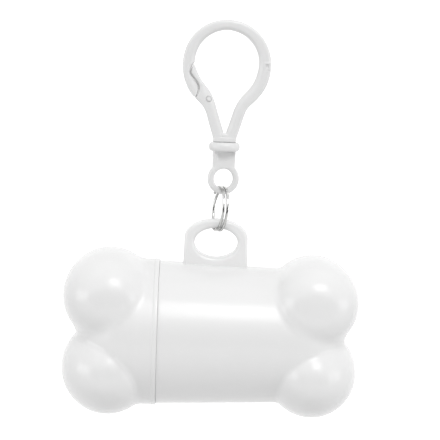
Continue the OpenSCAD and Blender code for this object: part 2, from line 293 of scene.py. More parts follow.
def shell_mesh(name, shell):
    """The mesh of a closed shell, from millimetres to metres."""
    points, triangles, quads = shell
    corners = np.concatenate([triangles.ravel(), quads.ravel()]).astype(np.int32)
    starts = np.concatenate([3 * np.arange(len(triangles)),
                             3 * len(triangles) + 4 * np.arange(len(quads))]).astype(np.int32)
    mesh = bpy.data.meshes.new(name)
    mesh.vertices.add(len(points))
    mesh.vertices.foreach_set("co", (points * MM).astype(np.float32).ravel())
    mesh.loops.add(len(corners))
    mesh.loops.foreach_set("vertex_index", corners)
    mesh.polygons.add(len(starts))
    mesh.polygons.foreach_set("loop_start", starts)
    mesh.update(calc_edges=True)
    mesh.validate()
    return mesh


def combined(name, shell, tools):
    """The mesh of a shell after each (shell, UNION or DIFFERENCE) of the tools, in order."""
    scene = bpy.context.scene.collection
    mesh = shell_mesh(name, shell)
    work = bpy.data.objects.new("work", mesh)
    scene.objects.link(work)
    helpers = []
    for tool, operation in tools:
        helper = bpy.data.objects.new("tool", shell_mesh("tool", tool))
        scene.objects.link(helper)
        helpers.append(helper)
        step = work.modifiers.new(operation.lower(), "BOOLEAN")
        step.operation, step.solver, step.object = operation, "EXACT", helper
    evaluated = work.evaluated_get(bpy.context.evaluated_depsgraph_get())
    result = bpy.data.meshes.new_from_object(evaluated)
    if len(result.polygons) < len(mesh.polygons) // 2:
        raise RuntimeError(f"joining the shells of {name} lost its surface")
    result.name = name
    for thing in [work, *helpers]:
        bpy.data.objects.remove(thing)
    return result


def add_piece(name, mesh, body, slot, nodes):
    """Shows a finished mesh as a piece that rides on a body and stands for frame nodes. Its
    material has its slot's name."""
    old = bpy.data.objects.get(name)
    if old:
        bpy.data.objects.remove(old)
    mesh.materials.clear()
    mesh.materials.append(bpy.data.materials[slot])
    mesh.shade_smooth()
    mesh.set_sharp_from_angle(angle=SHARP_ANGLE)
    piece = bpy.data.objects.new(name, mesh)
    bpy.context.scene.collection.objects.link(piece)
    if body:
        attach(piece, body)
    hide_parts(*nodes)
    return piece


# ---------------------------------------------------------------- curves and fields


def smooth_curve(xs, ys, x):
    """A curve through points: between two of them it is the cubic that has their heights and
    slopes. A point's slope is the gradient of the points there."""
    xs, ys = np.asarray(xs, float), np.asarray(ys, float)
    slopes = np.gradient(ys, xs)
    n = np.clip(np.searchsorted(xs, x) - 1, 0, len(xs) - 2)
    run = xs[n + 1] - xs[n]
    t = np.clip((x - xs[n]) / run, 0, 1)
    return ((1 + 2 * t) * (1 - t) ** 2 * ys[n] + t * (1 - t) ** 2 * run * slopes[n]
            + t * t * (3 - 2 * t) * ys[n + 1] + t * t * (t - 1) * run * slopes[n + 1])


def ease(x):
    """0 below 0, 1 above 1, and three x squared minus two x cubed between."""
    x = np.clip(x, 0, 1)
    return x * x * (3 - 2 * x)


def rounded(angle, power):
    """Cosine and sine of the angles, each with its size raised to 2 / power: a circle for
    power 2, and a squarer loop for a higher one."""
    c, s = np.cos(angle), np.sin(angle)
    return (np.sign(c) * np.abs(c) ** (2 / power), np.sign(s) * np.abs(s) ** (2 / power))


def around(count):
    """Angles of a full turn, without its end."""
    return np.linspace(0, 2 * pi, count, endpoint=False)


def smooth_min(a, b, reach):
    """The lesser of two fields, with a fillet where they are within reach of each other: their
    mix by h, less reach times h (1 - h), where h is half of 1 + (b - a) / reach."""
    h = np.clip(0.5 + 0.5 * (b - a) / reach, 0, 1)
    return b + (a - b) * h - reach * h * (1 - h)


def cast(origins, directions, field, reach):
    """Where rays leave a solid, the place where its field turns positive. Each ray is halved
    again and again between its origin, inside, and its reach, outside."""
    near = np.zeros(np.broadcast(origins, directions).shape[:-1])
    far = np.full_like(near, reach)
    for _ in range(40):
        middle = (near + far) / 2
        inside = field(origins + middle[..., None] * directions) < 0
        near, far = np.where(inside, middle, near), np.where(inside, far, middle)
    return origins + near[..., None] * directions


def revolved(stations, radii, angles):
    """Rings of a solid of revolution about X: (station, r cos angle, r sin angle)."""
    stations, radii = np.asarray(stations, float)[:, None], np.asarray(radii, float)[:, None]
    return np.stack([stations + 0 * angles, radii * np.cos(angles), radii * np.sin(angles)], -1)


def turned_shell(profile, count, low=0.0):
    """A solid turned about Z from a profile of (height, radius) pairs, raised by low."""
    rings = revolved(*zip(*profile), around(count))
    return grid_shell(np.stack([rings[..., 1], rings[..., 2], rings[..., 0] + low], -1))


def about_y(points, centre=(0, 0, 0)):
    """Points about X turned so that they lie about Y, moved to a centre."""
    return np.stack([points[..., 1], points[..., 0], points[..., 2]], -1) + np.asarray(centre)


def rounded_block(centre, halves, power, count=32):
    """A block with rounded edges: half sizes times (C(v) C(u), C(v) S(u), S(v)), where C and S
    are the cosine and sine raised to 2 / power, u goes round and v from pole to pole."""
    v = np.linspace(-pi / 2, pi / 2, count // 2 + 1)[:, None]
    u = around(count)[None]
    cu, su = rounded(u, power)
    cv, sv = rounded(v, power)
    points = np.stack([cv * cu, cv * su, sv + 0 * u], -1) * np.asarray(halves)
    return grid_shell(points + np.asarray(centre))


def loft(inner, outer, thickness, powers=(2.0, 4.0), slants=(0, 0), count=56):
    """A band laid between two edges in the XZ plane. Ring v of row u is its middle
    + its half width times C(v) towards the outer edge + half its thickness times S(v) along Y,
    where C and S are the cosine and sine raised to 2 / power. Each side has its own power, and
    its own slant: how far its edge moves outward from the middle of the thickness to the back.
    The two ends close in poles."""
    angle = around(count)
    outside = np.cos(angle) > 0
    c, s = rounded(angle, np.where(outside, powers[1], powers[0]))
    inner_slant, outer_slant = (np.reshape(slant, (-1, 1)) for slant in slants)
    shift = np.where(outside, outer_slant, inner_slant) * s * np.abs(c)
    width = np.linalg.norm(outer - inner, axis=1)[:, None]
    part = (c + 1) / 2 + shift / width
    points = np.stack([inner[:, :1] + part * (outer - inner)[:, :1], thickness[:, None] / 2 * s,
                       inner[:, 1:] + part * (outer - inner)[:, 1:]], -1)
    ends = [np.repeat(points[k].mean(0)[None, None], count, 1) for k in (0, -1)]
    return grid_shell(np.concatenate([ends[0], points, ends[1]]))


def ring_plate(centre, outline, hole, thickness, hole_edge, outer_edge, count=220, steps=9):
    """A plate in the XZ plane with a hole. Spoke u leaves the centre, and the section v goes
    round between the hole's edge and the outline as a rectangle with rounded corners, whose
    radii are hole_edge at the hole and outer_edge at the outline."""
    u = around(count)[:, None]
    spokes = np.concatenate([np.cos(u), np.sin(u)], -1)
    inner, outer = (cast(centre, spokes, field, RAY_REACH) for field in (hole, outline))
    bend = np.linspace(0, pi / 2, steps)
    bend = np.concatenate([bend, pi - bend[::-1], pi + bend, 2 * pi - bend[::-1]])
    outside = np.repeat([True, False, False, True], steps)
    side = np.repeat([1, 1, -1, -1], steps)
    radius = np.where(outside, outer_edge, hole_edge)
    inward = radius * (1 - np.abs(np.cos(bend)))
    start = np.where(outside[:, None], outer[:, None], inner[:, None])
    inward = np.where(outside, -inward, inward)
    plane = start + inward[:, None] * spokes[:, None]
    y = side * (thickness / 2 - radius * (1 - np.abs(np.sin(bend))))
    y = np.broadcast_to(y, plane.shape[:2])
    return grid_shell(np.stack([plane[..., 0], y, plane[..., 1]], -1), wrap_rows=True)


# ---------------------------------------------------------------- materials


def fill(tree, made, values):
    """Sets a node's inputs, by name or number, or links them where the value is a socket."""
    for key, value in values.items():
        if isinstance(value, bpy.types.NodeSocket):
            tree.links.new(value, made.inputs[key])
        else:
            made.inputs[key].default_value = value


def node(tree, kind, values=None, **settings):
    """A new node with its settings and its inputs."""
    made = tree.nodes.new(kind)
    for key, value in settings.items():
        setattr(made, key, value)
    fill(tree, made, values or {})
    return made


def maths(tree, operation, a, b=0.5, c=0.0):
    """The result of a Math node."""
    return node(tree, "ShaderNodeMath", {0: a, 1: b, 2: c}, operation=operation).outputs[0]


def blended(tree, mask, a, b):
    """Colour a where the mask is 0 and colour b where it is 1."""
    return node(tree, "ShaderNodeMix", {0: mask, 6: a, 7: b}, data_type="RGBA").outputs[2]


def mapped(tree, vector, scale=(1, 1, 1), turn=(0, 0, 0), move=(0, 0, 0)):
    """A vector that is scaled, turned and moved."""
    return node(tree, "ShaderNodeMapping", {"Vector": vector, "Location": move, "Rotation": turn,
                                            "Scale": scale}).outputs[0]


def noise(tree, vector, size, detail=3.0, roughness=0.5):
    """Noise whose lumps are about size across, in the vector's own unit."""
    return node(tree, "ShaderNodeTexNoise", {"Vector": vector, "Scale": 1 / size, "Detail": detail,
                                             "Roughness": roughness}).outputs[0]


def new_group(name, inputs, outputs):
    """An empty node group with named sockets, its inputs' sockets, and its output node."""
    old = bpy.data.node_groups.get(name)
    if old:
        bpy.data.node_groups.remove(old)
    tree = bpy.data.node_groups.new(name, "ShaderNodeTree")
    for socket, kind, value in inputs:
        made = tree.interface.new_socket(name=socket, in_out="INPUT", socket_type=kind)
        if value is not None:
            made.default_value = value
    for socket, kind in outputs:
        tree.interface.new_socket(name=socket, in_out="OUTPUT", socket_type=kind)
    return tree, tree.nodes.new("NodeGroupInput").outputs, tree.nodes.new("NodeGroupOutput")


def moulded_skin_group():
    """Skin of a moulded part: faint flow marks in its colour, fine grain, and hairline
    scratches that show in its roughness and its height."""
    tree, given, out = new_group(
        "moulded_skin",
        [("Vector", "NodeSocketVector", None), ("Colour", "NodeSocketColor", (0.8, 0.8, 0.8, 1)),
         ("Roughness", "NodeSocketFloat", 0.25), ("Flow Size", "NodeSocketFloat", 14.0)],
        [("Colour", "NodeSocketColor"), ("Roughness", "NodeSocketFloat"),
         ("Height", "NodeSocketFloat")])
    where, colour = given["Vector"], given["Colour"]
    scale = maths(tree, "DIVIDE", 1 / MM, given["Flow Size"])
    flow = node(tree, "ShaderNodeTexNoise", {"Vector": where, "Scale": scale, "Detail": 4.0,
                                             "Distortion": 0.8}).outputs[0]
    shade = node(tree, "ShaderNodeHueSaturation", {"Color": colour, "Value": 0.965}).outputs[0]
    stretched = mapped(tree, where, (0.05, 1, 1), (0.4, 0.9, 0.6))
    threshold = 0.66
    hairlines = maths(tree, "SMOOTH_MAX", noise(tree, stretched, 0.16 * MM, 2.0), threshold, 0.02)
    hairlines = maths(tree, "SUBTRACT", hairlines, threshold)
    plain = maths(tree, "SUBTRACT", given["Roughness"], 0.04)
    rough = maths(tree, "MULTIPLY_ADD", flow, 0.08, plain)
    grain = noise(tree, where, 0.35 * MM, 2.0)
    height = maths(tree, "MULTIPLY_ADD", grain, 0.12, maths(tree, "MULTIPLY", flow, 0.5))
    fill(tree, out, {
        "Colour": blended(tree, maths(tree, "MULTIPLY", flow, 0.7), colour, shade),
        "Roughness": maths(tree, "MULTIPLY_ADD", hairlines, 0.6, rough),
        "Height": maths(tree, "SUBTRACT", height, hairlines)})


def new_material(name):
    """An emptied material, and its tree, Object coordinates and Principled shader."""
    material = bpy.data.materials.get(name) or bpy.data.materials.new(name)
    material.use_nodes = True
    tree = material.node_tree
    tree.nodes.clear()
    where = tree.nodes.new("ShaderNodeTexCoord").outputs["Object"]
    shader = tree.nodes.new("ShaderNodeBsdfPrincipled")
    node(tree, "ShaderNodeOutputMaterial", {0: shader.outputs[0]})
    return material, tree, where, shader


def bump(tree, height, depth_mm, strength=1.0):
    """The normal of a surface whose height has a full swing of depth_mm."""
    return node(tree, "ShaderNodeBump", {"Height": height, "Distance": depth_mm * MM,
                                         "Strength": strength}).outputs[0]


def plastic_material(name, colour, roughness, flow_size):
    """White moulded plastic with a soft gloss."""
    _, tree, where, shader = new_material(name)
    skin = node(tree, "ShaderNodeGroup",
                {"Vector": where, "Colour": (*colour, 1), "Roughness": roughness,
                 "Flow Size": flow_size}, node_tree=bpy.data.node_groups["moulded_skin"]).outputs
    fill(tree, shader, {"Base Color": skin["Colour"], "Roughness": skin["Roughness"],
                        "IOR": 1.49, "Normal": bump(tree, skin["Height"], 0.035)})


def toned(colour, share):
    """A colour times a share, at most white, with full alpha."""
    return (*(min(1.0, share * c) for c in colour), 1)


def steel_material(name, colour):
    """Plated steel wire: bright, with dull lines drawn out along it in its roughness, painted
    dark reflections drawn out along it in its colour, and painted shade on the sides of its
    section where the coils lie against each other. Its places are in millimetres."""
    _, tree, _, shader = new_material(name)
    place = node(tree, "ShaderNodeAttribute", attribute_name="wire").outputs["Vector"]
    parts = node(tree, "ShaderNodeSeparateXYZ", {"Vector": place}).outputs
    # Painted reflection: this noise draws dark bands along the wire in its colour, standing in for
    # the dark studio that the wire mirrors.
    painted_reflection_streaks = noise(tree, mapped(tree, place, (0.42, 1.3, 1.3)), 1.0, 2.0)
    lines = noise(tree, mapped(tree, place, (0.8, 9.0, 9.0)), 1.0, 3.0)
    dark = node(tree, "ShaderNodeMapRange", {"Value": painted_reflection_streaks, "From Min": 0.44, "From Max": 0.56},
                interpolation_type="SMOOTHSTEP").outputs[0]
    # Painted shade: the colour darkens on the sides of the section that face along the ring's axis,
    # where the coils lie against each other.
    painted_contact_shade = node(tree, "ShaderNodeMapRange", {"Value": maths(tree, "ABSOLUTE", parts[2]),
                                              "From Min": 0.8, "From Max": 1.0}).outputs[0]
    # The mask mixes the painted reflection and the painted shade into the wire's colour.
    mask = maths(tree, "MAXIMUM", maths(tree, "MULTIPLY", dark, 0.45),
                 maths(tree, "MULTIPLY", painted_contact_shade, 0.6))
    fill(tree, shader, {
        "Base Color": blended(tree, mask, (*colour, 1), toned(colour, 0.1)),
        "Roughness": maths(tree, "MULTIPLY_ADD", lines, 0.12, 0.07),
        "Metallic": 1.0, "Normal": bump(tree, lines, 0.015)})


def roll_places(tree, where):
    """Object coordinates from the roll's middle, their parts, and how far round its axis each
    point is, as a part of a turn."""
    centred = mapped(tree, where, move=tuple(-ROLL_MIDDLE * MM))
    parts = node(tree, "ShaderNodeSeparateXYZ", {"Vector": centred}).outputs
    turn = maths(tree, "DIVIDE", maths(tree, "ARCTAN2", parts[2], parts[1]), 2 * pi)
    return centred, parts, turn


def film_material(name, colour, pitch):
    """Thin bag film wound in layers: rings on the roll's ends and soft creases round it."""
    _, tree, where, shader = new_material(name)
    centred, parts, turn = roll_places(tree, where)
    across = node(tree, "ShaderNodeCombineXYZ", {"Y": parts[1], "Z": parts[2]}).outputs[0]
    radius = node(tree, "ShaderNodeVectorMath", {0: across}, operation="LENGTH").outputs["Value"]
    wobble = maths(tree, "MULTIPLY_ADD", noise(tree, where, 2.2 * MM), 0.9, turn)
    layers = maths(tree, "FRACT", maths(tree, "MULTIPLY_ADD", radius, 1 / (pitch * MM), wobble))
    creases = noise(tree, mapped(tree, centred, (1, 0.35, 0.35)), 1.5 * MM, 4.0, 0.6)
    banded = blended(tree, maths(tree, "MULTIPLY", layers, 0.55), (*colour, 1), toned(colour, 0.8))
    height = maths(tree, "MULTIPLY_ADD", creases, 1.6, layers)
    fill(tree, shader, {
        "Base Color": blended(tree, maths(tree, "MULTIPLY", creases, 0.5), banded,
                              toned(colour, 1.12)),
        "Roughness": maths(tree, "MULTIPLY_ADD", creases, 0.3, 0.24),
        "Normal": bump(tree, height, 0.12, 0.7)})


def card_material(name, colour):
    """Grey-brown core board: fibres, flecks and the spiral joint of its ply."""
    _, tree, where, shader = new_material(name)
    _, parts, turn = roll_places(tree, where)
    ply_pitch = 26 * MM
    ply = maths(tree, "FRACT", maths(tree, "MULTIPLY_ADD", parts[0], 1 / ply_pitch, turn))
    joint = maths(tree, "LESS_THAN", ply, 0.03)
    fibres = noise(tree, mapped(tree, where, (0.3, 1, 1)), 0.25 * MM, 5.0, 0.7)
    flecks = maths(tree, "GREATER_THAN", noise(tree, where, 0.5 * MM, 2.0), 0.66)
    dark, pale = toned(colour, 0.62), toned(colour, 1.2)
    board = blended(tree, fibres, dark, pale)
    board = blended(tree, maths(tree, "MULTIPLY", flecks, 0.3), board, dark)
    fill(tree, shader, {
        "Base Color": blended(tree, maths(tree, "MULTIPLY", joint, 0.7), board, dark),
        "Roughness": maths(tree, "MULTIPLY_ADD", fibres, 0.15, 0.72),
        "Normal": bump(tree, maths(tree, "SUBTRACT", fibres, joint), 0.08)})


# ---------------------------------------------------------------- hook shapes

# Places along the hook's band: the loop's quarter is 0 to 1, the lower bends 1 to 3, the
# shoulder 3 to 4, the knee 4 to 5, and the leg 5 to 6. The nose and the tongue meet along
# NOSE_LINE, and TONGUE_BACK is the tongue's other edge: each point of them is a place, and an
# offset from the band's middle in its half widths. Bends are (radius, turn in degrees). Rows
# are ROW_STEP apart, and closer on each side of WINDING.
LOWER_BENDS = [(13.4, 30.0), (6.4, 14.0)]
KNEE_BEND = (2.2, -27.0)
LEG_CLEARANCE = 0.015
LEG_END = 6.09
GATE_FOOT = 5.68
BAND_PLACES = (0, 1.5, 3, 4.8, 6)
ROW_STEP = 0.3
NOSE_TIP = 3.18
TONGUE_TIP = 1.09
WINDING = 2.4
NOSE_LINE = ((0.97, -1.5), (1.02, -1.0), (1.09, -0.75), (1.23, -0.44), (1.32, -0.23), (1.39, -0.1),
             (1.44, -0.09), (1.5, -0.17), (1.58, -0.28), (1.66, -0.39), (1.74, -0.48), (1.82, -0.56),
             (1.92, -0.6), (2.07, -0.57), (2.5, -0.46), (2.84, -0.28), (3.03, -0.05), (3.09, 0.19),
             (3.14, 0.48), (3.18, 0.82), (3.21, 1.15))
LINE_END = NOSE_LINE[-1][0]
TONGUE_BACK = ((1.08, -0.85), (1.13, -0.94), (1.24, -1.05), (1.48, -1.2), (1.89, -1.4),
               (3.14, -1.46), (3.64, -1.4), (4.09, -1.16), (4.5, -1.0), (6.0, -1.0))
LEFT = np.array([-1.0, 1.0])


class Band:
    """The hook's right half as a chain of arcs and straights, each (radius or length, turn in
    degrees clockwise), that starts at the top of the loop. The shoulder's straight is as long
    as it takes for the two legs to meet. A place along the band counts stretches."""

    def __init__(self, hook):
        bends = [(hook.loop_r, 90.0), *LOWER_BENDS]
        leg = [KNEE_BEND, (hook.leg_len, 0.0)]
        self.widths = (hook.band_top, hook.band_side, hook.band_side, hook.leg_w, hook.leg_w)
        self.start = np.array([0.0, hook.band_top / 2])
        foot = self.chain(bends + leg)[-1][0]
        heading = sum(turn for _, turn in bends)
        shoulder = (foot[0] - (hook.leg_w / 2 + LEG_CLEARANCE)) / -cos(radians(heading))
        self.stretches = bends + [(shoulder, 0.0)] + leg
        self.starts = self.chain(self.stretches)

    @staticmethod
    def step(point, heading, stretch, part):
        """Points, and headings in degrees, parts of the way along a stretch: on a straight,
        point + part x length x (cos h, -sin h); on an arc, point + radius x the change of
        (sin h, cos h), with a minus for a bend to the left."""
        size, turn = stretch
        headings = heading + part * turn
        now = np.radians(headings)
        if turn == 0:
            ahead = np.stack([np.cos(now), -np.sin(now)], -1)
            return point + (part * size)[:, None] * ahead, headings
        outward = np.stack([np.sin(now), np.cos(now)], -1)
        first = np.array([sin(radians(heading)), cos(radians(heading))])
        return point + np.sign(turn) * size * (outward - first), headings

    def chain(self, stretches):
        """Start point and heading of each stretch, and of the end."""
        places = [(self.start, 0.0)]
        for stretch in stretches:
            points, headings = self.step(*places[-1], stretch, np.ones(1))
            places.append((points[0], headings[0]))
        return places

    def at(self, places, offsets):
        """Points at places along the band, offset outward by so many of its half widths."""
        points, headings = np.zeros((len(places), 2)), np.zeros(len(places))
        which = np.clip(places.astype(int), 0, len(self.stretches) - 1)
        for number, stretch in enumerate(self.stretches):
            here = which == number
            points[here], headings[here] = self.step(*self.starts[number], stretch,
                                                     places[here] - number)
        turned = np.radians(headings)
        outward = np.stack([np.sin(turned), np.cos(turned)], -1)
        return points + (offsets * self.half_widths(places))[:, None] * outward

    def even(self, low, high):
        """Places from low to high, about ROW_STEP apart."""
        fine = np.linspace(low, high, 2000)
        points = self.at(fine, np.zeros_like(fine))
        run = np.concatenate([[0], np.cumsum(np.linalg.norm(np.diff(points, axis=0), axis=1))])
        return np.interp(np.linspace(0, run[-1], max(int(run[-1] / ROW_STEP), 4) + 1), run, fine)

    def rows(self, low, high, *winding):
        """Places from low to high, with closer ones, (from, to, count), where the edge winds."""
        closer = [np.linspace(*stretch) for stretch in winding]
        return np.unique(np.concatenate([self.even(low, high), *closer]))

    def left(self, places, offsets):
        """Points on the left half, at places and offsets."""
        return self.at(places, offsets) * LEFT

    def half_widths(self, places):
        """Half the band's width at places."""
        return np.interp(places, BAND_PLACES, self.widths) / 2


def eased_edge(points, reach=7):
    """An edge whose every point is the mean of the points within reach steps of it, less
    towards the ends, so that its kinks become bends."""
    total = np.concatenate([np.zeros((1, 2)), np.cumsum(points, axis=0)])
    n = len(points)
    ids = np.arange(n)
    near = np.minimum(np.minimum(ids, n - 1 - ids), reach)
    return (total[ids + near + 1] - total[ids - near]) / (2 * near + 1)[:, None]


def hook_band(hook, band):
    """The hook from its nose, over the loop and down the right leg into the base. On the nose
    the inner edge leaves the band's and follows the line where the tongue meets it."""
    nose = band.rows(0.02, NOSE_TIP, (1.0, WINDING, 50), (WINDING, NOSE_TIP, 40))[::-1]
    half = band.half_widths(nose)
    meeting = smooth_curve(*zip(*NOSE_LINE), nose) + hook.gate_gap / 2 / half
    outside = 1 - 0.12 * ease((nose - 2.9) / 0.3) ** 3
    inside = np.where(nose < NOSE_LINE[0][0], -1, np.clip(meeting, -1, outside - 0.02))
    right = band.even(0, LEG_END)
    edge = np.ones_like(right)
    inner = np.concatenate([band.left(nose, inside), eased_edge(band.at(right, -edge))])
    outer = eased_edge(np.concatenate([band.left(nose, outside), band.at(right, edge)]))
    slant = np.concatenate([meeting_slant(hook, nose), 0 * right])
    return loft(inner, outer, tapered(hook, inner, outer), slants=(slant, 0))


def gate_band(hook, band):
    """The left leg and its tongue: between the nose line and the tongue's back over the
    shoulder, and between the band's own edges below it."""
    places = band.rows(TONGUE_TIP, GATE_FOOT, (TONGUE_TIP, WINDING, 50), (WINDING, 3.45, 60))
    half = band.half_widths(places)
    line = smooth_curve(*zip(*NOSE_LINE), np.minimum(places, LINE_END)) - hook.gate_gap / 2 / half
    plain = places > LINE_END
    outside = np.where(plain, 1.0, np.minimum(line, 1.0))
    inside = np.minimum(smooth_curve(*zip(*TONGUE_BACK), places), outside - 0.02)
    inner, outer = eased_edge(band.left(places, inside)), band.left(places, outside)
    outer[plain] = eased_edge(outer[plain])
    return loft(inner, outer, tapered(hook, inner, outer), slants=(0, meeting_slant(hook, places)))


def meeting_slant(hook, places):
    """How far the meeting faces of nose and tongue slant, so that no light shows between
    them: nothing at the ends of their line."""
    first, last = 1.15, 3.05
    return hook.gate_slant * ease((places - first) / 0.2) * ease((last - places) / 0.3)


def tapered(hook, inner, outer):
    """Thickness of a band: the hook's, times (width / full width) to the 0.4 where it is
    narrower than that."""
    full_width = 1.5
    width = np.linalg.norm(outer - inner, axis=1)
    return hook.thickness * np.minimum(1, width / full_width) ** 0.4


def leg_stub(hook, band):
    """The foot of the left leg, from where the gate's surface starts down into the base."""
    places = np.linspace(GATE_FOOT, LEG_END, 12)
    inner, outer = (band.left(places, side * np.ones_like(places)) for side in (-1, 1))
    return loft(inner, outer, np.full(len(places), hook.thickness))


def turned_stem(hook, root, head_top, head_bottom):
    """The stem and its head, turned about Z: a straight stem, a shoulder, and a head that
    widens downward and has a rounded tip."""
    r, head = hook.stem_r, hook.head_r
    return turned_shell([
        (root, 0), (root, r), (head_top + 0.1, r), (head_top, r + 0.12), (head_top - 0.08, r + 0.18),
        (head_bottom + 0.6, head), (head_bottom + 0.35, head - 0.03),
        (head_bottom + 0.12, head - 0.2), (head_bottom, head - 0.45), (head_bottom, 0)], 64)


def hook_base(hook, foot_z, collar_top):
    """The block that joins the two legs over the collar, and the web between their feet."""
    low, high = collar_top + 0.05, foot_z + 0.15
    halves = (3.2, hook.thickness / 2 + 0.04, (foot_z + 0.1 - collar_top) / 2)
    web = rounded_block((0, 0, foot_z + 0.3), (1.5, hook.thickness / 2 - 0.25, 0.9), 4)
    return rounded_block((0, 0, (low + high) / 2), halves, 9), web


def side_mark(hook):
    """A low square on the front of the loop's right side, and the cutter of its pit."""
    x, z, front = 11.0, -9.5, -hook.thickness / 2
    mark = rounded_block((x, front + 0.3, z), (1.05, 0.36, 1.25), 6)
    return mark, rounded_block((x, front, z), (0.45, 0.3, 0.55), 9)


def neck_recess(floor, top, side):
    """A cutter for the neck's front (side -1) or back (1): a rounded block whose inner face is
    deepest at the top, at the floor's Y, and leans out 6 degrees. Its lower edge slants by 8."""
    half_width, half_depth, half_height = 2.55, 1.5, 1.75
    points, triangles, quads = rounded_block((0, -half_depth, -half_height),
                                             (half_width, half_depth, half_height), 9, 48)
    slant, lean = Matrix.Rotation(radians(-8), 3, "Y"), Matrix.Rotation(radians(-6), 3, "X")
    tip = np.array(slant @ lean)
    points = (points @ tip.T + (0, floor, top + 0.15)) * (1, -side, 1)
    return oriented(points, triangles, quads)


def ejector_mark(hook):
    """A cutter for the round mark in the front of the gate's leg: a shallow disc with a deeper
    rim, about Y and turned 15 degrees about Z. It closes a millimetre in front of the leg."""
    x, z, radius = -4.65, -18.95, 0.95
    depths, shares = zip((0.04, 0), (0.04, 0.3), (0.06, 0.6), (0.5, 0.68), (0.5, 0.82),
                         (0.15, 0.95), (-1, 1), (-1, 0))
    points = about_y(revolved(depths, radius * np.array(shares), around(32)))
    spun = np.array(Matrix.Rotation(radians(15), 3, "Z"))
    return grid_shell(points @ spun.T + (x, 0.06 - hook.thickness / 2, z))


# ---------------------------------------------------------------- swivel shapes


def swivel_collar(eye, low):
    """The collar, turned about Z: a cylinder with both edges rounded as quarter ovals."""
    high, deep = 1.15, 0.95
    bend = np.linspace(0, pi / 2, 9)
    rise, inset = high * (1 - np.sin(bend)), deep * (1 - np.cos(bend))
    stations = np.concatenate([[0], rise[::-1], eye.collar_h - rise, [eye.collar_h]])
    radii = np.concatenate([[0], eye.collar_r - inset[::-1], eye.collar_r - inset, [0]])
    return turned_shell(zip(stations, radii), 96, low)


def swivel_neck(eye, top, foot):
    """The neck: a flat band that thins from the collar down to the eye."""
    z = np.linspace(top + 0.4, foot, 40)
    thin = ease((top - z) / (top - foot))
    side = eye.neck_w / 2 + 0 * z
    thickness = eye.neck_t + (eye.foot_t - eye.neck_t) * thin
    return loft(np.stack([-side, z], -1), np.stack([side, z], -1), thickness, (7, 7))


def swivel_socket(hook, collar_top):
    """A cutter, turned about Z, for the stem's bore and, under it, the room for its head."""
    bore, room = hook.stem_r + 0.06, hook.head_r + 0.12
    return turned_shell([
        (collar_top + 1, 0), (collar_top + 1, bore), (collar_top - 0.7, bore),
        (collar_top - 0.82, room), (collar_top - 2.0, room), (collar_top - 2.22, room - 0.3),
        (collar_top - 2.22, 0)], 64)


def swivel_eye_ring(eye, eye_z):
    """The eye: a section with rounded corners turned about Y."""
    c, s = rounded(around(40), 2.8)
    section = revolved(eye.eye_t / 2 * s, eye.hole_r + eye.band_w / 2 * (1 + c), around(112))
    return grid_shell(about_y(section, (0, 0, eye_z)), True)


# ---------------------------------------------------------------- ring shapes


def ring_wire(ring, centre, radius, across, up, normal):
    """The wire: centre + radius times (across cos p + up sin p) + shift times the normal. The
    shift crosses from one coil to the other in two eased steps. Its section is a rounded
    square. It gives the shell and each point's place: the run along the wire in millimetres,
    and the cosine and sine round the section."""
    start = radians(40)
    phi = start + np.linspace(0, 2 * pi * ring.turns, 420)
    run = np.degrees(phi - start)
    crossing = 0.45 * ease((run - 250) / 35) + 0.55 * ease((run - 325) / 60)
    shift = ring.coil_gap * (crossing - 0.5 - 0.1 * (1 - ease(run / 15)))
    out = np.cos(phi)[:, None] * across + np.sin(phi)[:, None] * up
    path = centre + radius * out + shift[:, None] * normal
    c, s = rounded(around(24), 2.5)
    full = np.pad(np.ones(len(phi)), 1)
    path, out = (np.concatenate([rows[:1], rows, rows[-1:]]) for rows in (path, out))
    points = (path[:, None] + ring.wire_r * full[:, None, None]
              * (c[:, None] * out[:, None] + s[:, None] * normal))
    run = radius * np.concatenate([phi[:1], phi, phi[-1:]])[:, None] + 0 * c
    return grid_shell(points), np.stack([run, c + 0 * run, s + 0 * run], -1)


def add_wire_places(mesh, places):
    """Gives each point of the wire's mesh its place as the attribute that the steel reads."""
    flat = np.concatenate([places[0, :1], places[1:-1].reshape(-1, 3), places[-1, :1]])
    made = mesh.attributes.new("wire", "FLOAT_VECTOR", "POINT")
    made.data.foreach_set("vector", flat.astype(np.float32).ravel())


# ---------------------------------------------------------------- case shapes

# How far in from the end of its rod the middle of a lobe lies, and the lug's from the seam.
LOBE_INSET = 8.9
CAP_LOBE_INSET = 9.0
LUG_FROM_SEAM = 15.3


def rod_field(along, out, start_r, end_r, end, corner):
    """A round rod with a taper and a rounded far edge of radius corner: the distance to a
    rounded box in the half plane of (along, out), whose height follows the taper."""
    taper = np.clip(along / (end - corner), 0, 1)
    side = out - (start_r + (end_r - start_r) * taper - corner)
    top = along - (end - corner)
    rounding = np.hypot(np.maximum(side, 0), np.maximum(top, 0))
    return np.minimum(np.maximum(side, top), 0) + rounding - corner


def lobe_field(points, centre, radius, depth, power):
    """A lobe, round from the front and fuller than an oval from the side: with k the power
    root of (distance from its Y axis / radius)^power + (|y| / depth)^power, the distance from
    its centre times (1 - 1 / k)."""
    away = points - centre
    k = ((np.hypot(away[..., 0], away[..., 2]) / radius) ** power
         + (np.abs(away[..., 1]) / depth) ** power) ** (1 / power)
    return np.linalg.norm(away, axis=-1) * (1 - 1 / np.maximum(k, 1e-6))


def case_field(shape):
    """The outside of a case half, in (along, Y, Z) from its seam: its rod and its two lobes,
    joined with a fillet."""
    def field(points):
        along, out = points[..., 0], np.hypot(points[..., 1], points[..., 2])
        solid = rod_field(along, out, shape.start_r, shape.end_r, shape.end, shape.corner)
        for side in (-1, 1):
            lobe = lobe_field(points, (shape.lobe_at, 0, side * shape.rise), shape.lobe_r,
                              shape.lobe_depth, shape.powers[side > 0])
            solid = smooth_min(solid, lobe, shape.fillets[side > 0])
        return solid
    return field


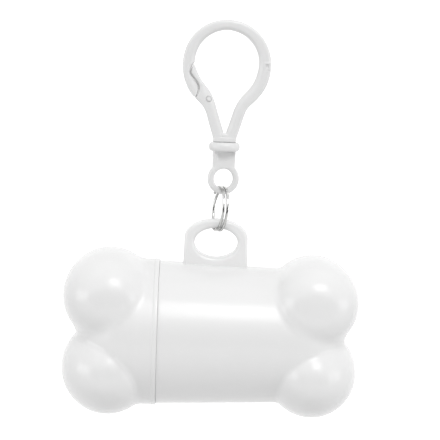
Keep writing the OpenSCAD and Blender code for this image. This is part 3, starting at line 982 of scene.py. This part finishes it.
def case_angles():
    """Angles round the case, closer together at its top and bottom, where the parting line
    runs, and how much of the line's ridge each angle has: e to the minus (off / 0.4)^2, for
    an angle that is off degrees from the line."""
    def off_line(angles):
        """How far angles are from the parting line, on its nearer side."""
        return np.minimum(np.abs(angles - pi / 2), np.abs(angles - 3 * pi / 2))

    fine = np.radians([-1.6, -0.9, -0.5, -0.25, 0, 0.25, 0.5, 0.9, 1.6])
    even = around(264) + 0.01
    even = even[off_line(even) > radians(2)]
    angles = np.sort(np.concatenate([even, pi / 2 + fine, 3 * pi / 2 + fine]))
    return angles, np.exp(-(off_line(angles) / radians(0.4)) ** 2)


def fan_rays(lean, angles):
    """Directions that lean from X by lean and are turned about it by angles."""
    return np.stack([np.cos(lean) + 0 * angles, np.sin(lean) * np.cos(angles),
                     np.sin(lean) * np.sin(angles)], -1)


def case_outside(shape, angles, ridge, first):
    """Rows of the outside, from the station first to the pole between the lobes. Rays leave
    the axis square to it up to the lobes, then fan out from one point until they run along
    it. The ridge stands up by its height times its share at each angle."""
    ridge_height, wide_step, fine_step, fan_rows = 0.05, 1.2, 0.45, 110
    turn_at = shape.lobe_at - 2.2
    near_lobes = max(first, turn_at - 18)
    tube = np.concatenate([np.arange(first, near_lobes, wide_step),
                           np.arange(near_lobes, turn_at, fine_step)])
    fan = np.linspace(pi / 2, 0, fan_rows)
    lean = np.concatenate([np.full(len(tube), pi / 2), fan])[:, None]
    origin = np.concatenate([tube, np.full(len(fan), turn_at)])[:, None] + 0 * angles
    origins = np.stack([origin, 0 * origin, 0 * origin], -1)
    rays = fan_rays(lean, angles)
    points = cast(origins, rays, case_field(shape), RAY_REACH)
    fade = ease((points[..., 0] - first - 0.6) / 1.0) * np.sin(lean)
    return points + (ridge_height * ridge * fade)[..., None] * rays


def body_inside(case, end, angles):
    """Rows of the body's inside, in (along, Y, Z) from its seam: the bore from its round far
    end to the mouth, and back along the outside of the spigot to the seam."""
    mouth, bore_end = case.tube_r - case.wall, case.tube_end_r - case.wall
    spigot, tube_r = case.tube_r - SPIGOT_STEP, case.tube_r
    corner, tip = 8.2, end - 1.8
    bend = np.linspace(pi / 2, 0, 22)
    bore = np.stack([np.concatenate([[tip], tip - corner * (1 - np.sin(bend)),
                                     np.linspace(tip - corner, 0, 12)[1:]]),
                     np.concatenate([[0], bore_end - corner * (1 - np.cos(bend)),
                                     np.linspace(bore_end, mouth, 12)[1:]])], -1)
    outside = [
        (0.25 - SPIGOT_LEN, mouth), (0.05 - SPIGOT_LEN, mouth + 0.06), (-SPIGOT_LEN, mouth + 0.2),
        (-SPIGOT_LEN, spigot - 0.4), (0.1 - SPIGOT_LEN, spigot - 0.15), (0.35 - SPIGOT_LEN, spigot),
        (-0.25, spigot), (-0.1, spigot - 0.1), (0, spigot - 0.1), (0, tube_r - 0.11),
        (0.06, tube_r - 0.035), (0.2, tube_r - 0.01)]
    return revolved(*np.concatenate([bore, outside]).T, angles)


def cap_inside(case, shape, angles):
    """Rows of the cap's inside, in (along, Y, Z) from its rim: its hollow, which reaches into
    each lobe, then the socket for the spigot and the rim's rounded band."""
    outer_r = shape.start_r
    inner_r, band = outer_r - case.cap_wall, outer_r + 0.12
    pocket_r = case.cap_lobe_r - 2
    socket, depth = case.tube_r - SPIGOT_STEP + SPIGOT_PLAY, SPIGOT_LEN + 0.4

    def hollow(points):
        """The cap's own hollow, joined with a ball inside each lobe."""
        along, out = points[..., 0], np.hypot(points[..., 1], points[..., 2])
        space = rod_field(along, out, inner_r, inner_r, shape.end - case.cap_wall,
                          shape.corner - case.cap_wall)
        for side in (-1, 1):
            centre = np.array([shape.lobe_at, 0, side * (inner_r - pocket_r)])
            pocket = np.linalg.norm(points - centre, axis=-1) - pocket_r
            space = smooth_min(space, pocket, 1.0)
        return space

    rays = fan_rays(np.linspace(0, pi / 2, 70)[:, None], angles)
    origin = np.zeros_like(rays) + (shape.end - 10.5, 0, 0)
    mouth = [
        (depth + 0.05, inner_r), (depth, inner_r + 0.05), (depth, socket - 0.12),
        (depth - 0.1, socket), (0.4, socket), (0.1, socket + 0.1), (0, socket + 0.25),
        (0, band - 0.1), (0.06, band - 0.03), (0.2, band), (1.1, band), (1.24, band - 0.04),
        (1.3, outer_r)]
    return np.concatenate([cast(origin, rays, hollow, RAY_REACH), revolved(*zip(*mouth), angles)])


def placed(points, start, direction):
    """Points from (along, Y, Z) to their place: X is start + direction x along, and the axis
    is raised to the case's."""
    return np.stack([start + direction * points[..., 0], points[..., 1], points[..., 2] + AXIS_Z], -1)


def spigot_rib(case):
    """The rib on top of the spigot, which keeps the cap from turning."""
    top = case.tube_r - SPIGOT_STEP
    return rounded_block((SPIGOT_END + 3.5, 0, AXIS_Z + top - 0.2), (3.6, 1.0, 0.7), 8, 40)


def rib_groove(case, rim):
    """A cutter for the cap's groove over that rib."""
    top = case.tube_r - SPIGOT_STEP + SPIGOT_PLAY
    return rounded_block((rim - 3.1, 0, AXIS_Z + top - 0.6), (4.1, 1.06, 1.16), 10, 40)


def lug_plate(case, top, middle_x):
    """The lug: an arch of two quarter ovals on sides that widen a little towards the tube,
    with an oval hole whose edge is well rounded."""
    arch, bar, flare = 5.3, 2.5, 0.02
    shoulder = top - arch
    hole_z = top - bar - case.hole_h / 2
    foot = AXIS_Z + 0.8 * case.tube_end_r

    def outline(points):
        """The arch's oval over the shoulder, and the sides and foot under it."""
        x, z = points[..., 0] - middle_x, points[..., 1]
        half = case.lug_w / 2 - flare * (z - shoulder)
        arched = np.hypot(x / (case.lug_w / 2), (z - shoulder) / arch) - 1
        return np.where(z > shoulder, arched, np.maximum(np.abs(x) / half - 1, (foot - z) / arch))

    def hole(points):
        """The hole's oval: the root of the sum of (x / a) and (z / b) squared, less 1."""
        x, z = points[..., 0] - middle_x, points[..., 1]
        return np.hypot(x / (case.hole_w / 2), (z - hole_z) / (case.hole_h / 2)) - 1

    return ring_plate(np.array([middle_x, hole_z]), outline, hole, case.lug_t, hole_edge=1.25,
                      outer_edge=0.95)


def slot_cutter(case, middle_x):
    """A slot with round ends through the back of the tube, flared a little outward: loops of
    middle + the sign of cos a times half the straight + radius times (cos a, sin a)."""
    angles = around(96)
    straight = (case.slot_len - case.slot_h) / 2
    profile = [(8, 0), (8, 0), (case.tube_end_r - 1.4, 0), (case.tube_end_r + 0.2, 0.25),
               (case.tube_r + 0.6, 1.1), (case.tube_r + 3, 3.2), (case.tube_r + 3, 3.2)]
    depth, flare = np.array(profile).T[..., None]
    radius = case.slot_h / 2 + flare
    x = middle_x + np.sign(np.cos(angles)) * straight + radius * np.cos(angles)
    points = np.stack([x, depth + 0 * x, AXIS_Z + radius * np.sin(angles)], -1)
    points[0], points[-1] = points[0].mean(0), points[-1].mean(0)
    return grid_shell(points)


# ---------------------------------------------------------------- roll shapes


def wound_bags(roll, middle, half, inner, outer):
    """The bags as one ring about X. Its ends show layers: they sink by 0.16 times the size of
    sin(pi r / pitch). The film's step over one turn and soft waves are taken off its radius,
    and its ends wave a little along X."""
    angles = around(288)
    edge = 0.3
    low, high = inner + 0.15, outer - 0.35
    radial = low + (high - low) * np.linspace(0, 1, 60)
    layers = 0.16 * np.abs(np.sin(pi * radial / roll.film_pitch))
    face = half - 0.12 - layers
    bend = np.linspace(0, pi / 2, 6)
    inset_x, inset_r = edge * (1 - np.sin(bend)), edge * (1 - np.cos(bend))
    along = (half - edge) * np.linspace(-1, 1, 60)[1:-1]
    x = np.concatenate([-face, -half + inset_x, along, half - inset_x[::-1], face[::-1],
                        [half - 0.4, 0, 0.4 - half]])
    r = np.concatenate([radial, outer - inset_r[::-1], np.full(len(along), outer),
                        outer - inset_r, radial[::-1], [inner, inner, inner]])
    points = revolved(x, r, angles)
    weight = ease((r - inner - 1) / 3)[:, None]
    x = points[..., 0]
    ripple = 0.05 * np.sin(9 * angles + 0.35 * x) * np.sin(0.9 * x + 2 * angles)
    step = roll.tail_step * (angles / (2 * pi))
    points[..., 1:] *= (1 - weight * (step + 0.06 + ripple) / outer)[..., None]
    points[..., 0] += 0.05 * weight * np.sin(5 * angles + 3 * r[:, None]) * np.sign(x)
    return grid_shell(points + middle, True)


def roll_core(roll, middle, half, radius):
    """The cardboard tube about X, a little out of round: its radius times
    1 - 0.004 sin(3 a + 1)."""
    bore, edge = radius - roll.core_wall, 0.1
    profile = [(edge - half, bore), (-half, bore + edge), (-half, radius - edge),
               (edge - half, radius), (0, radius), (half - edge, radius), (half, radius - edge),
               (half, bore + edge), (half - edge, bore), (0, bore)]
    angles = around(96)
    points = revolved(*zip(*profile), angles)
    points[..., 1:] *= (1 - 0.004 * np.sin(3 * angles + 1))[None, :, None]
    return grid_shell(points + middle, True)


# ---------------------------------------------------------------- stage

SENSOR_MM = 36
LIT_POINT = (0, 0, -0.075)
# Each lamp: its name, the setting that holds its power, its place, and its width and height.
SOFTBOXES = [("key_softbox", "key", (0.165, -0.56, 0.48), 0.36, 0.34),
             ("top_softbox", "top", (0.0, 0.05, 0.75), 1.1, 0.9),
             ("right_softbox", "fill", (1.15, -0.35, 0.02), 1.0, 0.4),
             ("left_softbox", "fill_left", (-1.15, -0.35, 0.02), 1.0, 0.4)]


def seen_directly(tree):
    """1 for camera, glossy and transmission rays, and 0 for those that light the object."""
    path = tree.nodes.new("ShaderNodeLightPath").outputs
    seen = maths(tree, "MAXIMUM", path["Is Camera Ray"], path["Is Glossy Ray"])
    return maths(tree, "MAXIMUM", seen, path["Is Transmission Ray"])


def matt_material(name, colour):
    """A matt surface, and its tree and shader."""
    material, tree, _, shader = new_material(name)
    fill(tree, shader, {"Base Color": (*colour, 1), "Roughness": 0.9})
    return material, tree, shader


def floor_material(name, colour, glow):
    """A matt surface that adds a plain glow for camera and mirror rays alone, so that it reads
    pale, takes shadows, and lights nothing."""
    material, tree, shader = matt_material(name, colour)
    glow_node = node(tree, "ShaderNodeEmission", {
        "Color": (1, 1, 1, 1), "Strength": maths(tree, "MULTIPLY", seen_directly(tree), glow)})
    both = node(tree, "ShaderNodeAddShader", {0: shader.outputs[0], 1: glow_node.outputs[0]})
    surface = next(made for made in tree.nodes if made.type == "OUTPUT_MATERIAL")
    fill(tree, surface, {0: both.outputs[0]})
    return material


def add_floor(scene, material):
    """The floor and its backdrop as one sheet: flat, then up a quarter circle to a wall."""
    floor_z, reach = -420.0, 3000.0
    wall_y, wall_top, bend = 900.0, 2200.0, 250.0
    turn = np.linspace(0, pi / 2, 24)
    y = np.concatenate([[-reach], wall_y - bend + bend * np.sin(turn), [wall_y]])
    z = np.concatenate([[0], bend * (1 - np.cos(turn)), [wall_top]]) + floor_z
    x = np.array([-reach, reach])
    points = np.stack(np.broadcast_arrays(x[None], y[:, None], z[:, None]), -1).reshape(-1, 3)
    first = 2 * np.arange(len(y) - 1)
    quads = np.stack([first, first + 1, first + 3, first + 2], -1)
    mesh = bpy.data.meshes.new("floor")
    mesh.from_pydata((points * MM).tolist(), [], quads.tolist())
    mesh.shade_smooth()
    mesh.materials.append(material)
    floor = bpy.data.objects.new("floor", mesh)
    scene.collection.objects.link(floor)


def add_painted_reflection_card(scene, centre, width, height):
    """A dark card behind the camera that shows in reflections alone: a painted dark reflection,
    as a studio's dark side gives in bright metal. It is not seen directly and casts no shadow."""
    mesh = bpy.data.meshes.new("dark_card")
    x, z = width / 2, height / 2
    mesh.from_pydata([(-x, 0, -z), (-x, 0, z), (x, 0, z), (x, 0, -z)], [], [(0, 1, 2, 3)])
    mesh.materials.append(matt_material("card_black", (0.02, 0.02, 0.02))[0])
    card = bpy.data.objects.new("dark_card", mesh)
    card.location = centre
    for kind in ("camera", "diffuse", "transmission", "volume_scatter", "shadow"):
        setattr(card, f"visible_{kind}", False)
    scene.collection.objects.link(card)


def set_world(scene, ambient):
    """A world that is white where it is seen and lights the object with its ambient share."""
    world = bpy.data.worlds.new("studio")
    scene.world = world
    world.use_nodes = True
    tree = world.node_tree
    tree.nodes.clear()
    strength = maths(tree, "MAXIMUM", seen_directly(tree), ambient)
    background = node(tree, "ShaderNodeBackground", {"Color": (1, 1, 1, 1), "Strength": strength})
    node(tree, "ShaderNodeOutputWorld", {0: background.outputs[0]})


def add_softbox(scene, name, position, width, height, power):
    """A soft rectangular lamp at a position, facing the middle of the object."""
    data = bpy.data.lights.new(name, "AREA")
    data.shape, data.size, data.size_y, data.energy = "RECTANGLE", width, height, power
    lamp = bpy.data.objects.new(name, data)
    lamp.location = position
    facing = Vector(LIT_POINT) - Vector(position)
    lamp.rotation_euler = facing.to_track_quat("-Z", "Y").to_euler()
    scene.collection.objects.link(lamp)


def add_camera(scene, stage):
    """The camera: its lens takes in the view's width at the distance of the point looked at."""
    data = bpy.data.cameras.new("camera")
    data.sensor_width = SENSOR_MM
    place = Vector((stage.side, -stage.distance, stage.height))
    look = Vector((stage.look_x, 0, stage.look_z))
    data.lens = SENSOR_MM * (look - place).length / stage.view_width
    data.clip_start, data.clip_end = 0.01, 20
    camera = bpy.data.objects.new("camera", data)
    facing = (look - place).to_track_quat("-Z", "Y").to_matrix()
    camera.rotation_euler = (facing @ Matrix.Rotation(stage.roll, 3, "Z")).to_euler()
    camera.location = place
    scene.collection.objects.link(camera)
    scene.camera = camera


# ---------------------------------------------------------------- operators


class DISPENSER_OT_finishes(Operator):
    """Makes the materials."""

    bl_idname = "dispenser.finishes"
    bl_label = "Make Finishes"
    bl_options = {"REGISTER", "UNDO"}

    def execute(self, context):
        scene = context.scene
        look = scene.dispenser_finishes
        moulded_skin_group()
        plastic_material("hook_plastic", look.hook_plastic, look.gloss, flow_size=9.0)
        plastic_material("case_plastic", look.plastic, look.gloss, flow_size=22.0)
        steel_material("ring_steel", look.steel)
        film_material("bag_film", look.film, sizes(scene.dispenser_roll).film_pitch)
        card_material("core_card", look.card)
        return {"FINISHED"}


class DISPENSER_OT_hook(Operator):
    """Builds the snap hook, with its stem, and its gate: the left leg with the tongue."""

    bl_idname = "dispenser.hook"
    bl_label = "Build Snap Hook"
    bl_options = {"REGISTER", "UNDO"}

    def execute(self, context):
        hook = sizes(context.scene.dispenser_hook)
        band = Band(hook)
        foot_z = band.starts[-1][0][1]
        collar_top = EYE_HIGH[2] + sizes(context.scene.dispenser_swivel).collar_lift
        base, web = hook_base(hook, foot_z, collar_top)
        stem = turned_stem(hook, foot_z - 0.4, collar_top - 0.9, collar_top - 2.1)
        mark, pit = side_mark(hook)
        moulding = combined("snap_hook_band", hook_band(hook, band), [
            (base, "UNION"), (web, "UNION"), (leg_stub(hook, band), "UNION"),
            (mark, "UNION"), (pit, "DIFFERENCE"), (stem, "UNION")])
        add_piece("hook_moulding", moulding, "hook", "hook_plastic", ["snap_hook"])
        gate = combined("gate", gate_band(hook, band), [(ejector_mark(hook), "DIFFERENCE")])
        piece = add_piece("gate_leg", gate, None, "hook_plastic", ["gate_arm"])
        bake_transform(piece)
        return {"FINISHED"}


class DISPENSER_OT_swivel(Operator):
    """Builds the swivel eye: collar, neck with its hollows, and eye."""

    bl_idname = "dispenser.swivel"
    bl_label = "Build Swivel Eye"
    bl_options = {"REGISTER", "UNDO"}

    def execute(self, context):
        eye, hook = sizes(context.scene.dispenser_swivel), sizes(context.scene.dispenser_hook)
        neck_top = EYE_HIGH[2] + eye.collar_lift - eye.collar_h
        eye_z = EYE_BAR[2] + eye.hole_r + eye.band_w / 2 + eye.eye_lift
        floor = eye.recess - eye.neck_t / 2
        front, back = (neck_recess(floor, neck_top - 0.02, side) for side in (-1, 1))
        mesh = combined("neck", swivel_neck(eye, neck_top, eye_z + eye.hole_r + 0.3), [
            (front, "DIFFERENCE"), (back, "DIFFERENCE"), (swivel_collar(eye, neck_top), "UNION"),
            (swivel_eye_ring(eye, eye_z), "UNION"),
            (swivel_socket(hook, neck_top + eye.collar_h), "DIFFERENCE")])
        mesh.transform(Matrix.Rotation(eye.turn, 4, "Z"))
        add_piece("swivel", mesh, "eye", "hook_plastic", ["swivel_eye"])
        return {"FINISHED"}


class DISPENSER_OT_ring(Operator):
    """Builds the split ring: one wire wound on itself, its two ends cut square."""

    bl_idname = "dispenser.ring"
    bl_label = "Build Split Ring"
    bl_options = {"REGISTER", "UNDO"}

    def execute(self, context):
        ring = sizes(context.scene.dispenser_ring)
        centre = (RING_LOW + RING_HIGH) / 2 + (-ring.aside, 0, ring.lift)
        radius = (RING_HIGH[2] - RING_LOW[2]) / 2 + ring.grow - ring.wire_r
        normal = np.cross(np.array(JOINTS["case_swing"]["axis"], float), (0, 0, 1))
        normal = np.array(Matrix.Rotation(ring.turn, 3, "Z") @ Vector(normal).normalized())
        across = np.cross((0, 0, 1), normal)
        lean = Matrix.Rotation(ring.lean, 3, Vector(across))
        up, normal = np.array(lean @ Vector((0, 0, 1))), np.array(lean @ Vector(normal))
        shell, places = ring_wire(ring, centre, radius, across, up, normal)
        mesh = shell_mesh("split_ring_wire", shell)
        add_wire_places(mesh, places)
        add_piece("wire_ring", mesh, "ring", "ring_steel", ["split_ring"])
        return {"FINISHED"}


class DISPENSER_OT_body(Operator):
    """Builds the dispenser's body: tapered tube, lobes, bore, spigot, lug and bag slot."""

    bl_idname = "dispenser.body"
    bl_label = "Build Dispenser Body"
    bl_options = {"REGISTER", "UNDO"}

    def execute(self, context):
        case = sizes(context.scene.dispenser_case)
        end = BODY_HIGH[0] - (case.lobe_r - LOBE_INSET) - SEAM
        shape = SimpleNamespace(
            start_r=case.tube_r, end_r=case.tube_end_r, end=end, corner=14.0,
            lobe_at=end - LOBE_INSET, rise=case.lobe_rise, lobe_r=case.lobe_r,
            lobe_depth=case.tube_r, powers=(case.low_power, case.lobe_power),
            fillets=(case.low_fillet, case.fillet))
        angles, ridge = case_angles()
        rows = np.concatenate([body_inside(case, end, angles),
                               case_outside(shape, angles, ridge, first=0.5)])
        lug_x = SEAM + LUG_FROM_SEAM
        mesh = combined("dispenser_shell", grid_shell(placed(rows, SEAM, 1)), [
            (lug_plate(case, BODY_HIGH[2], lug_x), "UNION"), (spigot_rib(case), "UNION"),
            (slot_cutter(case, lug_x), "DIFFERENCE")])
        add_piece("case_body", mesh, "dispenser", "case_plastic", ["dispenser_body"])
        return {"FINISHED"}


class DISPENSER_OT_cap(Operator):
    """Builds the end cap: skirt with its rim, lobes, and the socket for the spigot."""

    bl_idname = "dispenser.cap"
    bl_label = "Build End Cap"
    bl_options = {"REGISTER", "UNDO"}

    def execute(self, context):
        case = sizes(context.scene.dispenser_case)
        rim = SEAM - RIM_GAP
        end = rim - CAP_LOW[0] - (case.cap_lobe_r - CAP_LOBE_INSET)
        outer_r = case.tube_r + case.cap_proud
        shape = SimpleNamespace(
            start_r=outer_r, end_r=outer_r, end=end, corner=17.0, lobe_at=end - CAP_LOBE_INSET,
            rise=case.cap_lobe_rise, lobe_r=case.cap_lobe_r, lobe_depth=outer_r - 0.3,
            powers=(case.low_power, case.cap_power), fillets=(case.low_fillet, case.fillet))
        angles, ridge = case_angles()
        rows = np.concatenate([cap_inside(case, shape, angles),
                               case_outside(shape, angles, ridge, first=2.0)])
        mesh = combined("cap_shell", grid_shell(placed(rows, rim, -1)),
                        [(rib_groove(case, rim), "DIFFERENCE")])
        add_piece("case_cap", mesh, "cap", "case_plastic", ["end_cap"])
        return {"FINISHED"}


class DISPENSER_OT_roll(Operator):
    """Builds the roll of bags and its cardboard core."""

    bl_idname = "dispenser.roll"
    bl_label = "Build Bag Roll"
    bl_options = {"REGISTER", "UNDO"}

    def execute(self, context):
        roll = sizes(context.scene.dispenser_roll)
        half = (ROLL_HIGH[0] - ROLL_LOW[0]) / 2
        outer = (ROLL_HIGH[2] - ROLL_LOW[2]) / 2
        core_r = (CORE_HIGH[2] - CORE_LOW[2]) / 2
        bags = wound_bags(roll, (ROLL_LOW + ROLL_HIGH) / 2, half, core_r + 0.08, outer)
        add_piece("wound_bags", shell_mesh("bags", bags), "roll", "bag_film", ["bag_roll"])
        core = roll_core(roll, (CORE_LOW + CORE_HIGH) / 2, half, core_r)
        add_piece("card_core", shell_mesh("core", core), "roll", "core_card", ["roll_core"])
        return {"FINISHED"}


class DISPENSER_OT_stage(Operator):
    """Makes the floor with its curved backdrop, the soft lights, the world and the camera."""

    bl_idname = "dispenser.stage"
    bl_label = "Set Stage"
    bl_options = {"REGISTER", "UNDO"}

    def execute(self, context):
        scene = context.scene
        stage = scene.dispenser_stage
        add_floor(scene, floor_material("floor_white", stage.floor, stage.floor_glow))
        set_world(scene, stage.ambient)
        for name, setting, position, width, height in SOFTBOXES:
            add_softbox(scene, name, position, width, height, getattr(stage, setting))
        # The card paints dark reflections into the steel and the plastic's gloss.
        add_painted_reflection_card(scene, centre=(0, -1.4, -0.1), width=3.6, height=1.0)
        add_camera(scene, stage)
        scene.view_settings.view_transform = "Standard"
        return {"FINISHED"}


class DISPENSER_PT_panel(Panel):
    """Lists the build steps."""

    bl_idname = "DISPENSER_PT_panel"
    bl_label = "Bag Dispenser"
    bl_space_type = "VIEW_3D"
    bl_region_type = "UI"
    bl_category = "Dispenser"

    def draw(self, context):
        for step in STEPS:
            self.layout.operator(step.bl_idname)


GROUPS = {"dispenser_hook": HookSizes, "dispenser_swivel": SwivelSizes, "dispenser_ring": RingSizes,
          "dispenser_case": CaseSizes, "dispenser_roll": RollSizes, "dispenser_finishes": Finishes,
          "dispenser_stage": StageSettings}
STEPS = [DISPENSER_OT_finishes, DISPENSER_OT_hook, DISPENSER_OT_swivel, DISPENSER_OT_ring,
         DISPENSER_OT_body, DISPENSER_OT_cap, DISPENSER_OT_roll, DISPENSER_OT_stage]


def register():
    """Registers the classes and hangs the settings on the scene."""
    for cls in [*GROUPS.values(), *STEPS, DISPENSER_PT_panel]:
        bpy.utils.register_class(cls)
    for name, cls in GROUPS.items():
        setattr(bpy.types.Scene, name, PointerProperty(type=cls))


def unregister():
    """Takes the settings and classes away again."""
    for name in GROUPS:
        delattr(bpy.types.Scene, name)
    for cls in [DISPENSER_PT_panel, *reversed(STEPS), *reversed(GROUPS.values())]:
        bpy.utils.unregister_class(cls)


def main():
    """Builds everything."""
    register()
    for step in STEPS:
        category, name = step.bl_idname.split(".")
        getattr(getattr(bpy.ops, category), name)()
    bpy.context.view_layer.update()


if __name__ == "__main__":
    main()
